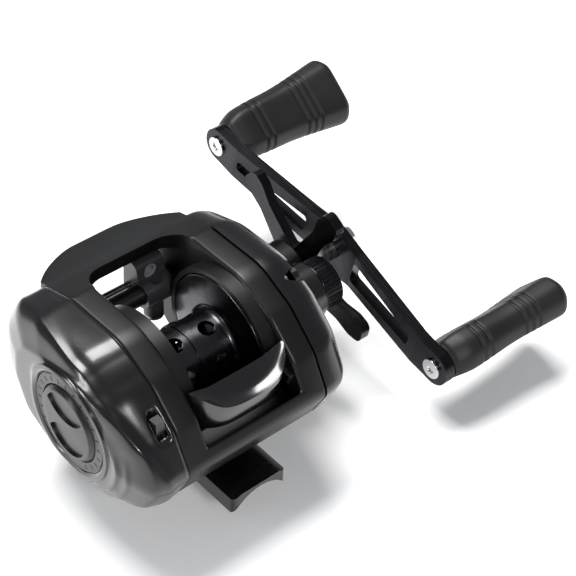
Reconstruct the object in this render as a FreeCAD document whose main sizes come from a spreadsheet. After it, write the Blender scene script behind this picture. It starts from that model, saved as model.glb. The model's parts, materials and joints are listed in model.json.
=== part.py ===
"""Low-profile baitcasting reel, right-hand retrieve, as a parametric FreeCAD document.

Frame of the part: +X towards the handle, +Y towards the rod tip, +Z up. The origin is on the axis of
the rod, under the middle of the reel foot. The spool turns about an axis parallel to X.
"""
import FreeCAD, Part, Sketcher
import math
import os
from FreeCAD import Placement, Rotation, Vector

os.makedirs("parts", exist_ok=True)
doc = FreeCAD.newDocument("baitcasting_reel")
sheet = doc.addObject("Spreadsheet::Sheet", "Sizes")


# ---------------------------------------------------------------- sizes that carry their formula

class Size:
    """A number in millimetres or degrees together with the spreadsheet formula that gives it."""

    def __init__(self, number, formula):
        self.number = number
        self.formula = formula

    def __add__(self, other):
        return Size(self.number + number(other), f"({self.formula} + {formula(other)})")

    def __radd__(self, other):
        return Size(number(other) + self.number, f"({formula(other)} + {self.formula})")

    def __sub__(self, other):
        return Size(self.number - number(other), f"({self.formula} - {formula(other)})")

    def __rsub__(self, other):
        return Size(number(other) - self.number, f"({formula(other)} - {self.formula})")

    def __mul__(self, other):
        return Size(self.number * number(other), f"({self.formula} * {formula(other)})")

    __rmul__ = __mul__

    def __truediv__(self, other):
        return Size(self.number / number(other), f"({self.formula} / {formula(other)})")

    def __neg__(self):
        return Size(-self.number, f"(0 - {self.formula})")


def number(value):
    return value.number if isinstance(value, Size) else float(value)


def formula(value):
    return value.formula if isinstance(value, Size) else repr(value)


def root(value):
    return Size(math.sqrt(value.number), f"sqrt({value.formula})")


def size(alias, value, note):
    """Write one driving dimension into the next row of the sheet and hand it back."""
    size.row += 1
    sheet.set(f"A{size.row}", alias)
    sheet.set(f"B{size.row}", str(value))
    sheet.setAlias(f"B{size.row}", alias)
    sheet.set(f"C{size.row}", note)
    return Size(float(value), f"Sizes.{alias}")


size.row = 0

# foot and rod
saddle_radius = size("saddle_radius", 9.0, "radius of the rod seat that the foot lies on")
foot_thick = size("foot_thick", 2.0, "crown of the foot")
foot_width = size("foot_width", 15.6, "foot across the rod")
foot_length = size("foot_length", 54.0, "foot along the rod")
foot_crown = size("foot_crown", 16.0, "radius of the foot's upper side")
# frame
floor_thick = size("floor_thick", 1.5, "frame under the spool")
spool_radius = size("spool_radius", 16.6, "spool flange")
spool_gap = size("spool_gap", 0.4, "flange to frame, all round")
top_rise = size("top_rise", 19.3, "spool axis to the top of the frame")
rear_reach = size("rear_reach", 27.2, "spool axis to the rear of the frame")
front_reach = size("front_reach", 31.5, "spool axis to the front of the side plates")
half_window = size("half_window", 13.5, "half the opening between the side plates")
plate_thick = size("plate_thick", 6.5, "each side plate, rim included")
web_thick = size("web_thick", 2.5, "wall that closes the right plate")
rim_wall = size("rim_wall", 2.2, "wall round the right plate")
guard_reach = size("guard_reach", 3.5, "ring round each flange, inwards from its plate")
guard_wall = size("guard_wall", 1.2, "ring round each flange")
hood_front = size("hood_front", 36.2, "spool axis to the nose of the hood")
hood_rear = size("hood_rear", 21.3, "spool axis to the rear edge of the hood")
hood_thick = size("hood_thick", 3.4, "hood at its rear edge")
window_corner = size("window_corner", 6.0, "rounded front corners of the opening over the spool")
hood_side = size("hood_side", 27.2, "front of the hood where it ends at the plates")
# spool
spool_half = size("spool_half", 9.9, "half the width between the flanges")
flange_thick = size("flange_thick", 1.0, "spool flange")
arbor_radius = size("arbor_radius", 8.5, "outside of the arbor")
arbor_wall = size("arbor_wall", 1.3, "arbor")
port_radius = size("port_radius", 2.1, "holes through the arbor")
port_offset = size("port_offset", 4.6, "rows of holes, either side of the middle")
shaft_radius = size("shaft_radius", 2.5, "spool shaft in the arbor")
journal_radius = size("journal_radius", 1.5, "spool shaft in its left bearing")
tip_radius = size("tip_radius", 1.0, "spool shaft through the pinion")
fit_gap = size("fit_gap", 0.06, "running clearance on radius")
# gears
spool_module = size("spool_module", 0.4, "module of the drive gear and the pinion")
drive_teeth = size("drive_teeth", 69, "teeth of the drive gear")
pinion_teeth = size("pinion_teeth", 11, "teeth of the pinion")
guide_module = size("guide_module", 0.5, "module of the level-wind gears")
crank_teeth = size("crank_teeth", 28, "level-wind gear on the drive shaft")
worm_teeth = size("worm_teeth", 20, "level-wind gear on the worm")
shaft_drop = size("shaft_drop", 7.0, "drive shaft below the spool axis")
worm_forward = size("worm_forward", 8.4, "worm ahead of the drive shaft")
gear_thick = size("gear_thick", 3.0, "drive gear")
# covers
palm_reach = size("palm_reach", 12.3, "left plate to the rim of the palm cover's dome")
cover_wall = size("cover_wall", 1.5, "shell of both side covers")
dial_radius = size("dial_radius", 9.6, "brake dial")
bezel_radius = size("bezel_radius", 12.3, "scale ring round the dial")
cam_radius = size("cam_radius", 11.2, "notched cam behind the dial")
brake_travel = size("brake_travel", 1.3, "magnets towards the spool")
gear_cover = size("gear_cover", 9.0, "right plate to the face of the handle-side cover")
boss_end = size("boss_end", 43.4, "outer end of the drive-shaft boss")
boss_radius = size("boss_radius", 8.6, "drive-shaft boss")
spool_boss = size("spool_boss", 7.2, "boss for the spool bearing")
knob_start = size("knob_start", 37.8, "inner face of the spool tension knob")
knob_end = size("knob_end", 43.6, "outer face of the spool tension knob")
tension_radius = size("tension_radius", 6.5, "spool tension knob")
# handle
handle_length = size("handle_length", 85.0, "between the two knob axes")
handle_rise = size("handle_rise", 13.2, "degrees that the front end of the handle is raised")
arm_inner = size("arm_inner", 54.6, "inner face of the handle's ends")
arm_thick = size("arm_thick", 3.0, "handle plate")
arm_sweep = size("arm_sweep", 2.7, "middle of the handle outwards of its ends")
arm_end_radius = size("arm_end_radius", 4.7, "rounded ends of the handle")
crank_radius = size("crank_radius", 3.0, "drive shaft")
knob_length = size("knob_length", 37.5, "handle knob")
knob_broad = size("knob_broad", 19.5, "handle knob at its flared end")
knob_thin = size("knob_thin", 12.0, "handle knob across")
front_knob_turn = size("front_knob_turn", 40.0, "degrees from +Y of the front knob's broad side")
rear_knob_turn = size("rear_knob_turn", 130.0, "degrees from +Y of the rear knob's broad side")
star_radius = size("star_radius", 26.0, "tips of the drag star")
star_place = size("star_place", 46.7, "middle of the drag star")
# clutch and level wind
bar_travel = size("bar_travel", 4.0, "thumb bar, down")
yoke_travel = size("yoke_travel", 1.5, "pinion out of mesh with the spool pin")
tube_radius = size("tube_radius", 2.7, "level-wind guard tube")
guide_width = size("guide_width", 8.0, "line guide")
guide_place = size("guide_place", 8.0, "line guide at rest, towards the handle")

# ---------------------------------------------------------------- places worked out from the sizes

bore = spool_radius + spool_gap
bottom_drop = bore + floor_thick
axis_z = saddle_radius + foot_thick + bottom_drop
left_face = -(half_window + plate_thick)
right_face = half_window + plate_thick
web_inner = half_window - 1.5
web_outer = web_inner + web_thick
centre_distance = spool_module * (drive_teeth + pinion_teeth) / 2
shaft_y = root(centre_distance * centre_distance - shaft_drop * shaft_drop)
shaft_z = axis_z - shaft_drop
guide_distance = guide_module * (crank_teeth + worm_teeth) / 2
worm_y = shaft_y + worm_forward
worm_z = shaft_z + root(guide_distance * guide_distance - worm_forward * worm_forward)
gear_start = right_face + 2.0
gear_end = gear_start + gear_thick
cover_face = right_face + gear_cover
dome_face = left_face - palm_reach
rod_y = worm_y + 4.4
rod_z = worm_z
eye_z = axis_z + 6.4
gear_tip = spool_module * (drive_teeth / 2 + 0.75)
arm_middle = arm_inner + arm_sweep
nut_start = arm_middle + arm_thick
tenon_front = -bore - 1.9
tenon_rear = tenon_front - 2.0

# screws and pins, as (y, z) from the spool axis; the foot's as (x, y)
COVER_SCREWS = ((6.2 - rear_reach, -7.0), (-7.0, top_rise - 4.3), (front_reach - 6.5, top_rise - 7.8),
                (-8.5, 3.3 - bottom_drop))
PLATE_SCREWS = ((shaft_y - 7.6, -shaft_drop - 8.0), (shaft_y + 10.1, -shaft_drop - 2.0),
                (shaft_y - 0.8, 13.4 - shaft_drop))
HOUSING_SCREWS = ((0.0, 13.4), (-11.6, -6.7), (11.6, -6.7))
CARRIER_PINS = ((0.0, 9.4), (-8.2, -4.7), (8.2, -4.7))
FOOT_SCREWS = ((-3.6, -5.0), (3.6, -5.0), (0.0, 7.0))
LATCH_Y = 7.9 - rear_reach
STAR_ANGLE = 192.0


# ---------------------------------------------------------------- tools of the trade

def bind(thing, **sizes):
    """Set properties of an object and bind each one to its formula."""
    for name, value in sizes.items():
        setattr(thing, name, number(value))
        if isinstance(value, Size):
            thing.setExpression(name, value.formula)
    return thing


def stand(thing, x, y, z, turn=None):
    """Place an object at three sizes, first turned about its own origin."""
    thing.Placement = Placement(Vector(number(x), number(y), number(z)), turn or Rotation())
    for letter, value in (("x", x), ("y", y), ("z", z)):
        if isinstance(value, Size):
            thing.setExpression(f"Placement.Base.{letter}", value.formula)
    return thing


ALONG_X = Rotation(Vector(0, 1, 0), 90)
ALONG_Y = Rotation(Vector(1, 0, 0), -90)
UPRIGHT = Rotation()


def rod(radius, start, end, y=0.0, z=axis_z):
    """A cylinder along X."""
    return stand(bind(doc.addObject("Part::Cylinder", "Rod"), Radius=radius, Height=end - start),
                 start, y, z, ALONG_X)


def cone(radius, end_radius, start, end, y=0.0, z=axis_z):
    """A cone along X."""
    made = bind(doc.addObject("Part::Cone", "Cone"), Radius1=radius, Radius2=end_radius, Height=end - start)
    return stand(made, start, y, z, ALONG_X)


def post(radius, x, y, bottom, top):
    """A cylinder along Z."""
    return stand(bind(doc.addObject("Part::Cylinder", "Post"), Radius=radius, Height=top - bottom),
                 x, y, bottom, UPRIGHT)


def block(x_low, x_high, y_low, y_high, z_low, z_high):
    """A box between two corners."""
    made = bind(doc.addObject("Part::Box", "Block"), Length=x_high - x_low, Width=y_high - y_low,
                Height=z_high - z_low)
    return stand(made, x_low, y_low, z_low)


def join(*pieces):
    made = doc.addObject("Part::MultiFuse", "Join")
    made.Shapes = list(pieces)
    made.Refine = True
    return made


def cut(base, *tools):
    made = doc.addObject("Part::Cut", "Cut")
    made.Base = base
    made.Tool = tools[0] if len(tools) == 1 else join(*tools)
    made.Refine = True
    return made


def common(first, second):
    made = doc.addObject("Part::MultiCommon", "Common")
    made.Shapes = [first, second]
    return made


def ring(outer, inner, start, end, y=0.0, z=axis_z):
    return cut(rod(outer, start, end, y, z), rod(inner, start - 1, end + 1, y, z))


NODES = {}


def node(label, made):
    """Name a finished sub-part: its label names its file."""
    made.Label = label
    NODES[label] = made
    return made


def plane_of(body, role):
    return [p for p in body.Origin.OriginFeatures if p.Role == role][0]


def outline(body, role, offset, corners):
    """A closed sketch through corners (u, v, radius), on one of the body's own planes.

    Each corner is a point fixed by two dimensions, and its radius, when there is one, rounds it off
    with an arc tangent to both sides.
    """
    sketch = body.newObject("Sketcher::SketchObject", "Outline")
    sketch.AttachmentSupport = [(plane_of(body, role), "")]
    sketch.MapMode = "FlatFace"
    sketch.AttachmentOffset = Placement(Vector(0, 0, number(offset)), Rotation())
    if isinstance(offset, Size):
        sketch.setExpression("AttachmentOffset.Base.z", offset.formula)
    points = [Vector(number(u), number(v), 0) for u, v, _ in corners]
    count = len(points)
    lead = []
    for index, (_, _, radius) in enumerate(corners):
        back = (points[index - 1] - points[index]).normalize()
        ahead = (points[(index + 1) % count] - points[index]).normalize()
        half = back.getAngle(ahead) / 2
        reach = number(radius) / math.tan(half) if number(radius) else 0.0
        lead.append((back, ahead, half, reach))
    sides = []
    for index in range(count):
        after = (index + 1) % count
        start = points[index] + lead[index][1] * lead[index][3]
        end = points[after] + lead[after][0] * lead[after][3]
        sides.append(sketch.addGeometry(Part.LineSegment(start, end), False))
    named = []

    def dimension(kind, *terms):
        value = terms[-1]
        row = sketch.addConstraint(Sketcher.Constraint(kind, *terms[:-1], number(value)))
        named.append((row, value))

    for index, (u, v, radius) in enumerate(corners):
        before = sides[index - 1]
        side = sides[index]
        if number(radius):
            back, ahead, half, reach = lead[index]
            middle = points[index] + (back + ahead).normalize() * (number(radius) / math.sin(half))
            first = points[index] + back * reach
            last = points[index] + ahead * reach
            crown = middle + (points[index] - middle).normalize() * number(radius)
            arc = sketch.addGeometry(Part.Arc(first, crown, last), False)
            start_near = (sketch.getPoint(arc, 1) - first).Length < 1e-4
            near, far = (1, 2) if start_near else (2, 1)
            sketch.addConstraint(Sketcher.Constraint("Tangent", before, 2, arc, near))
            sketch.addConstraint(Sketcher.Constraint("Tangent", arc, far, side, 1))
            dimension("Radius", arc, radius)
            corner = sketch.addGeometry(Part.Point(points[index]), True)
            sketch.addConstraint(Sketcher.Constraint("PointOnObject", corner, 1, before))
            sketch.addConstraint(Sketcher.Constraint("PointOnObject", corner, 1, side))
            end = (corner, 1)
        else:
            sketch.addConstraint(Sketcher.Constraint("Coincident", before, 2, side, 1))
            end = (side, 1)
        dimension("DistanceX", -1, 1, *end, u)
        dimension("DistanceY", -1, 1, *end, v)
    for row, value in named:
        if isinstance(value, Size):
            sketch.setExpression(f"Constraints[{row}]", value.formula)
    return sketch


def prism(start, end, corners, role="YZ_Plane"):
    """A body: one rounded outline padded along the normal of its plane."""
    body = doc.addObject("PartDesign::Body", "Prism")
    sketch = outline(body, role, start, corners)
    pad = body.newObject("PartDesign::Pad", "Pad")
    pad.Profile = sketch
    bind(pad, Length=end - start)
    return body


def turned(corners, y=0.0, z=axis_z):
    """A body turned about an axis along X: corners are (x, radius, rounding)."""
    body = doc.addObject("PartDesign::Body", "Turned")
    sketch = outline(body, "XZ_Plane", 0, corners)
    spin = body.newObject("PartDesign::Revolution", "Spin")
    spin.Profile = sketch
    spin.ReferenceAxis = (sketch, ["H_Axis"])
    spin.Angle = 360
    return stand(body, 0, y, z)


def loft(sections, role="YZ_Plane"):
    """A body lofted through outlines, each given as (offset, corners)."""
    body = doc.addObject("PartDesign::Body", "Loft")
    sketches = [outline(body, role, offset, corners) for offset, corners in sections]
    made = body.newObject("PartDesign::AdditiveLoft", "Loft")
    made.Profile = sketches[0]
    made.Sections = sketches[1:]
    made.Ruled = False
    made.Closed = False
    return body


def fixed_shape(shape):
    """A shape that Part's own functions make, such as a gear or a helix."""
    made = doc.addObject("Part::Feature", "Shape")
    made.Shape = shape
    return made


def spread(piece, count, y=0.0, z=axis_z, first=0.0):
    """Copies of a piece round an axis along X, as one group."""
    return join(*[turn_copy(piece, first + 360.0 * index / count, y, z) for index in range(count)])


def turn_copy(piece, angle, y, z):
    """The piece again, turned about the axis along X through (y, z)."""
    made = doc.addObject("Part::Compound", "Turn")
    made.Links = [piece]
    held = doc.addObject("Part::Compound", "Held")
    held.Links = [made]
    made.Placement = Placement(Vector(0, -number(y), -number(z)), Rotation())
    for letter, value in (("y", y), ("z", z)):
        if isinstance(value, Size):
            made.setExpression(f"Placement.Base.{letter}", (-value).formula)
    return stand(held, 0, y, z, Rotation(Vector(1, 0, 0), angle))


# ---------------------------------------------------------------- side profile shared by frame and covers

def profile(share=1.0):
    """The side view about the spool axis, as (y, z, rounding), shrunk to a share of its size."""
    corners = (
        (-rear_reach, -3.5, 3.5),
        (5.7 - rear_reach, 4.5 - bottom_drop, 7.0),
        (14.2 - rear_reach, -bottom_drop, 6.0),
        (front_reach - 16.5, -bottom_drop, 8.0),
        (front_reach - 5.5, 5.0 - bottom_drop, 7.0),
        (front_reach, -1.0, 6.0),
        (front_reach - 1.0, top_rise - 10.3, 5.0),
        (front_reach - 6.5, top_rise - 2.8, 4.0),
        (front_reach - 16.5, top_rise, 8.0),
        (24.2 - rear_reach, top_rise, 12.0),
        (13.7 - rear_reach, top_rise - 5.1, 10.0),
        (5.2 - rear_reach, top_rise - 13.1, 8.0),
    )
    return [(y * share, z * share, rounding * share) for y, z, rounding in corners]


MEAN_REACH = (top_rise + rear_reach) / 2


def shell_share(wall):
    return 1 - wall / MEAN_REACH


def side(start, end, corners):
    """A prism along X whose outline is measured from the spool axis."""
    return stand(prism(start, end, corners), 0, 0, axis_z)


# ---------------------------------------------------------------- frame

def main_frame():
    """One casting: two side plates, the hood over the line guide, the floor and the rear wall."""
    left = cut(side(left_face, -half_window, profile()), rod(bore, left_face - 1, -half_window + 1))
    plate = side(half_window, right_face, profile())
    right = cut(join(plate, rod(bore + guard_wall, web_inner, half_window + 1)),
                side(web_outer, right_face + 1, profile(shell_share(rim_wall))))
    guard = bore + guard_wall
    left_guard = ring(guard, bore, -half_window - 1, guard_reach - half_window)
    right_guard = ring(guard, bore, half_window - guard_reach, web_inner + 0.5)
    hood_side_view = side(left_face, right_face, [
        (hood_rear, top_rise - 1.8, 0), (hood_rear, top_rise - 1.8 - hood_thick, 0),
        (hood_front - 5.0, top_rise - 8.4, 3.0), (hood_front - 2.5, top_rise - 10.5, 1.0),
        (hood_front, top_rise - 10.5, 1.0), (hood_front + 0.8, top_rise - 6.1, 2.5)])
    bulge = hood_front - hood_side
    hood_arc = (right_face * right_face + bulge * bulge) / (2 * bulge)
    hood_plan = post(hood_arc, 0.0, hood_front - hood_arc, axis_z, axis_z + top_rise + 2)
    hood = common(hood_side_view, hood_plan)
    window = prism(axis_z, axis_z + 30.0, [
        (-half_window, -hood_rear, 0), (half_window, -hood_rear, 0),
        (half_window, hood_rear, window_corner), (-half_window, hood_rear, window_corner)], "XY_Plane")
    deck = common(side(-half_window - 0.5, half_window + 0.5, profile()),
                  block(left_face, right_face, hood_rear - window_corner, hood_rear + 0.5,
                        axis_z + top_rise - 1.8 - hood_thick, axis_z + top_rise + 1))
    corners = cut(deck, window)
    floor_view = side(-half_window - 0.5, half_window + 0.5, profile())
    low_half = block(left_face, right_face, -rear_reach - 1, 14.0, axis_z - bottom_drop - 1, axis_z + 0.3)
    low = cut(common(floor_view, low_half), rod(bore + 0.3, left_face, right_face),
              block(-half_window - 0.2, half_window + 0.2, 2.0 - rear_reach, -bore + 0.1,
                    axis_z - bar_travel - 0.5, axis_z + 1))
    body = join(left, right, left_guard, right_guard, hood, corners, low)
    holes = [
        rod(5.0, web_inner - 1, web_outer + 1),
        rod(2.4, left_face + 2.5, web_outer + 1, worm_y, worm_z),
        rod(1.0, left_face + 3.0, web_outer - 0.3, rod_y, rod_z),
        rod(1.0, web_outer - 2.0, web_outer + 1, 0.0, axis_z + 11.0),
        rod(1.0, web_outer - 2.0, web_outer + 1, 0.0, axis_z - 11.0),
        block(half_window - 1, web_outer + 1, tenon_rear - 0.3, tenon_front + 0.3,
              axis_z + 0.5 - bar_travel, axis_z + 3.7),
    ]
    for y, z in COVER_SCREWS:
        holes.append(rod(1.0, right_face - 3.5, right_face + 1, y, axis_z + z))
    holes += [rod(1.0, right_face - 4.5, right_face + 1, y, axis_z + z) for y, z in PLATE_SCREWS]
    for x, y in FOOT_SCREWS:
        holes.append(post(1.0, x, y, saddle_radius + foot_thick - 1, axis_z - bore + 1))
    bosses = [common(rod(2.6, web_outer - 0.5, right_face, y, axis_z + z),
                     side(web_outer - 1, right_face, profile()))
              for y, z in COVER_SCREWS]
    bosses.append(rod(4.0, half_window, web_outer + 0.4, worm_y, worm_z))
    bosses += [rod(2.0, web_outer - 0.5, right_face, y, axis_z + z) for y, z in PLATE_SCREWS]
    return node("main_frame", cut(join(body, *bosses), *holes))



def reel_foot():
    """Arched plate that sits on the rod, thinner towards its two ends, screwed under the floor."""
    half = foot_length / 2
    arch = stand(bind(doc.addObject("Part::Cylinder", "Arch"), Radius=foot_crown, Height=foot_length),
                 0, -half, saddle_radius + foot_thick - foot_crown, ALONG_Y)
    seat = stand(bind(doc.addObject("Part::Cylinder", "Seat"), Radius=saddle_radius, Height=foot_length + 2),
                 0, -half - 1, 0, ALONG_Y)
    edge = foot_width / 2
    plan = prism(0.5, saddle_radius + foot_thick, [
        (-edge, -half, 1.5), (edge, -half, 1.5), (edge, half, 1.5), (-edge, half, 1.5)], "XY_Plane")
    plate = cut(common(arch, plan), seat)
    slopes = []
    for end in (-1, 1):
        corners = [(end * half, saddle_radius + 1.0, 0), (end * (half - 15.0), saddle_radius + foot_thick, 0),
                   (end * (half - 15.0), saddle_radius + foot_thick + 3, 0),
                   (end * (half + 1), saddle_radius + foot_thick + 3, 0),
                   (end * (half + 1), saddle_radius + 1.0, 0)]
        slopes.append(prism(-edge - 1, edge + 1, corners))
    holes = [post(1.05, x, y, saddle_radius - 1, saddle_radius + foot_thick + 1) for x, y in FOOT_SCREWS]
    sinks = [post(1.9, x, y, saddle_radius - 1.5, saddle_radius + 0.9) for x, y in FOOT_SCREWS]
    return node("reel_foot", cut(plate, *slopes, *holes, *sinks))


def foot_screws():
    """Three small screws from below, heads sunk in the foot."""
    screws = []
    for x, y in FOOT_SCREWS:
        shank = post(1.0, x, y, saddle_radius + 0.5, axis_z - bore - 0.1)
        head = post(1.8, x, y, saddle_radius + 0.1, saddle_radius + 0.9)
        screws.append(cut(join(shank, head), block(x - 1.2, x + 1.2, y - 0.2, y + 0.2,
                                                    saddle_radius - 0.5, saddle_radius + 0.4)))
    return node("foot_screws", join(*screws))


def set_plate():
    """Stamped plate inside the cover that carries the inner end of the drive shaft."""
    start = right_face + 0.05
    end = start + 1.2
    plate = prism(start, end, [(-9.8, -10.4, 2.0), (-2.4, -10.4, 2.0), (12.6, -3.8, 2.0), (14.0, 9.0, 3.0),
                               (11.2, 15.6, 3.0), (-3.8, 15.6, 2.0), (-7.4, 5.0, 2.0), (-7.4, -3.0, 1.0),
                               (-9.8, -7.0, 1.0)])
    stand(plate, 0, shaft_y, shaft_z)
    bearing_hole = rod(4.6, start - 1, end + 1, shaft_y, shaft_z)
    worm_hole = rod(2.0, start - 1, end + 1, worm_y, worm_z)
    holes = [rod(1.05, start - 1, end + 1, y, axis_z + z) for y, z in PLATE_SCREWS]
    return node("set_plate", cut(plate, bearing_hole, worm_hole, *holes))


def set_plate_screws():
    screws = []
    for y, z in PLATE_SCREWS:
        start = right_face + 1.3
        screws.append(join(rod(1.8, start, start + 0.6, y, axis_z + z),
                           rod(1.0, right_face - 4.0, start, y, axis_z + z)))
    return node("set_plate_screws", join(*screws))


def shaft_bushing():
    return node("shaft_bushing", ring(4.6, 2.5 + fit_gap, right_face - 1.5, right_face + 1.75, shaft_y,
                                      shaft_z))


def handle_side_cover():
    """Deep cover over the gears with two bosses, one round the spool shaft, one round the drive shaft."""
    step = gear_cover - 2.5
    outer = loft([(right_face, profile()), (right_face + step, profile(0.93)), (cover_face, profile(0.80))])
    inner = loft([(right_face - 1, profile(shell_share(cover_wall))),
                  (right_face, profile(shell_share(cover_wall))),
                  (right_face + step, profile(0.93 - 1.5 / 23)), (cover_face - cover_wall,
                                                                  profile(0.80 - 1.5 / 23))])
    for piece in (outer, inner):
        stand(piece, 0, 0, axis_z)
    pot = rod(gear_tip + 2.2, right_face, cover_face - 1.5, shaft_y, shaft_z)
    pot_hollow = rod(gear_tip + 0.6, right_face - 1, cover_face - 2.6, shaft_y, shaft_z)
    spool_nose = join(rod(spool_boss, cover_face - 3, knob_start - 0.5),
                      rod(4.9, knob_start - 1, knob_end - 1.5))
    shaft_nose = rod(boss_radius, cover_face - 3, boss_end, shaft_y, shaft_z)
    solid = join(outer, pot, spool_nose, shaft_nose)
    hollows = [
        inner, pot_hollow,
        rod(1.75, cover_face - 4, knob_end, 0.0, axis_z),
        rod(4.0, knob_start - 6.5, knob_end, 0.0, axis_z),
        rod(7.0, cover_face - 4, boss_end + 1, shaft_y, shaft_z),
    ]
    hollows += [rod(1.05, right_face - 1, cover_face + 1, y, axis_z + z) for y, z in COVER_SCREWS]
    hollows += [rod(2.0, right_face + 2.5, cover_face + 1, y, axis_z + z) for y, z in COVER_SCREWS]
    posts = [rod(3.0, right_face, right_face + 2.5, y, axis_z + z) for y, z in COVER_SCREWS]
    shell = cut(solid, *hollows[:5])
    posts = common(join(*posts), stand(loft([(right_face, profile()), (cover_face, profile(0.9))]), 0, 0,
                                       axis_z))
    return node("handle_side_cover", cut(join(shell, posts), *hollows[5:]))


def cover_screws():
    screws = []
    for y, z in COVER_SCREWS:
        start = right_face + 2.5
        shank = rod(1.0, right_face - 3.3, start, y, axis_z + z)
        head = cut(rod(1.8, start, start + 1.2, y, axis_z + z),
                   block(start + 0.7, start + 2, y - 0.25, y + 0.25, axis_z + z - 1.3, axis_z + z + 1.3))
        screws.append(join(shank, head))
    return node("cover_screws", join(*screws))


def bearing(label, outer, inner, start, end, y=0.0, z=axis_z):
    """A bearing with a groove in each face between its races."""
    race = (number(outer) + number(inner)) / 2
    faces = [ring(race + 0.35, race - 0.35, start - 0.5, start + 0.3, y, z),
             ring(race + 0.35, race - 0.35, end - 0.3, end + 0.5, y, z)]
    return node(label, cut(ring(outer, inner, start, end, y, z), *faces))


def worm_guard():
    """Tube round the worm, slotted below for the pawl."""
    start = -half_window
    end = half_window
    tube = ring(tube_radius, tube_radius - 0.55, start, end, worm_y, worm_z)
    half_slot = half_window - 1.3
    slot = block(-half_slot, half_slot, worm_y - 1.1, worm_y + 1.1, worm_z - 4, worm_z)
    return node("worm_guard", cut(tube, slot))


def guide_rod():
    return node("guide_rod", rod(1.0, left_face + 3.0, web_outer - 0.3, rod_y, rod_z))


def worm_bearings():
    left = ring(2.4, 1.2 + fit_gap, left_face + 2.5, -half_window, worm_y, worm_z)
    right = ring(2.4, 1.2 + fit_gap, half_window, web_outer + 0.4, worm_y, worm_z)
    return node("worm_bearings", join(left, right))


def yoke_posts():
    """Two headed pins that guide the clutch yoke."""
    pins = []
    for z in (-11.0, 11.0):
        pins.append(rod(1.0, web_outer - 2.0, web_outer + 6.6, 0.0, axis_z + z))
        pins.append(rod(1.8, web_outer + 6.6, web_outer + 7.2, 0.0, axis_z + z))
    return node("yoke_posts", join(*pins))


def coil(radius, wire, turns, start, end, y, z):
    """A compression spring along X."""
    length = number(end) - number(start) - 2 * wire
    helix = Part.makeHelix(length / turns, length, radius)
    helix.Placement = Placement(Vector(number(start) + wire, y, number(z)), ALONG_X)
    first = helix.Edges[0]
    section = Part.Wire([Part.makeCircle(wire, first.valueAt(first.FirstParameter),
                                         first.tangentAt(first.FirstParameter))])
    return Part.Wire(helix.Edges).makePipeShell([section], True, True)


def yoke_springs():
    springs = [coil(1.5, 0.22, 4, web_outer + 4.2, web_outer + 6.5, 0.0, axis_z + z) for z in (-11.0, 11.0)]
    return node("yoke_springs", fixed_shape(Part.makeCompound(springs)))


# ---------------------------------------------------------------- palm side

def palm_cover():
    """Domed cover on the palm side, with a seat for the dial and a slot for its latch."""
    steps = ((0.0, 1.0), (palm_reach * 0.38, 0.985), (palm_reach * 0.66, 0.93),
             (palm_reach * 0.87, 0.80), (palm_reach, 0.66))
    wall_share = 1.5 / 23
    outer = loft([(left_face - 0.05 - reach, profile(share)) for reach, share in steps])
    inner = loft([(left_face + 1, profile(steps[0][1] - wall_share))] +
                 [(left_face + cover_wall - reach, profile(share - wall_share)) for reach,
                  share in steps[1:]])
    for piece in (outer, inner):
        stand(piece, 0, 0, axis_z)
    hub = rod(6.0, dome_face + 0.5, left_face - 3.4)
    bosses = [rod(1.9, dome_face + 2.0, left_face - 0.4, y, axis_z + z) for y, z in HOUSING_SCREWS]
    threads = [rod(0.9, left_face - 4.0, left_face, y, axis_z + z) for y, z in HOUSING_SCREWS]
    hollow = [rod(bezel_radius, dome_face - 2, dome_face + 1.3), rod(3.0 + fit_gap, dome_face - 1, left_face)]
    latch_slot = block(left_face - 4.2, left_face - 1.5, LATCH_Y - 2.6, LATCH_Y + 2.6, axis_z + 5,
                       axis_z + 14)
    seat = rod(bezel_radius + 1.5, dome_face + 1.0, dome_face + 3.2)
    return node("palm_cover", cut(join(cut(outer, inner), seat, hub, *bosses), *hollow, *threads, latch_slot))


def housing_screws():
    screws = []
    for y, z in HOUSING_SCREWS:
        start = left_face + 1.2
        screws.append(join(rod(0.9, left_face - 3.5, start, y, axis_z + z),
                           rod(1.5, start, start + 0.8, y, axis_z + z)))
    return node("housing_screws", join(*screws))


def brake_housing():
    """Cup behind the palm cover that fills the left plate, with the left spool bearing in its middle."""
    start = left_face - 0.4
    disc = rod(bore - 0.3, start, start + 1.6)
    wall = ring(bore - 0.3, bore - 1.6, start + 1, left_face + 7.6)
    hub = rod(6.2, start + 1, left_face + 6.8)
    holes = [rod(5.0, left_face + 2.5, left_face + 8), rod(2.2, start - 1, left_face + 3)]
    holes += [rod(1.1, start - 1, start + 3, y, axis_z + z) for y, z in CARRIER_PINS]
    holes += [rod(0.9, start - 1, start + 3, y, axis_z + z) for y, z in HOUSING_SCREWS]
    return node("brake_housing", cut(join(disc, wall, hub), *holes))


def dial_bezel():
    """Ring round the dial with short scale marks cut in its face."""
    face = dome_face
    body = ring(bezel_radius - 0.02, dial_radius + 0.25, face - 0.3, face + 1.3)
    marks = []
    for index in range(21):
        angle = math.radians(-60.0 + 15.0 * index)
        mark = bind(doc.addObject("Part::Box", "Mark"), Length=0.4, Width=1.2, Height=0.3)
        turn = Rotation(Vector(1, 0, 0), math.degrees(angle))
        middle = turn.multVec(Vector(0, number(dial_radius) + 0.9, -0.15))
        marks.append(stand(mark, face - 0.5, middle.y, axis_z + middle.z, turn))
    return node("dial_bezel", cut(body, *marks))


def click_spring():
    """Leaf that clicks against the notched cam."""
    start = left_face - 2.0
    low = axis_z - cam_radius - 2.0
    leaf = block(start, left_face - 0.4, -2.6, 2.6, low, low + 0.6)
    tooth = block(start, start + 0.9, -0.5, 0.5, low + 0.6, low + 1.7)
    return node("click_spring", join(leaf, tooth))


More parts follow.
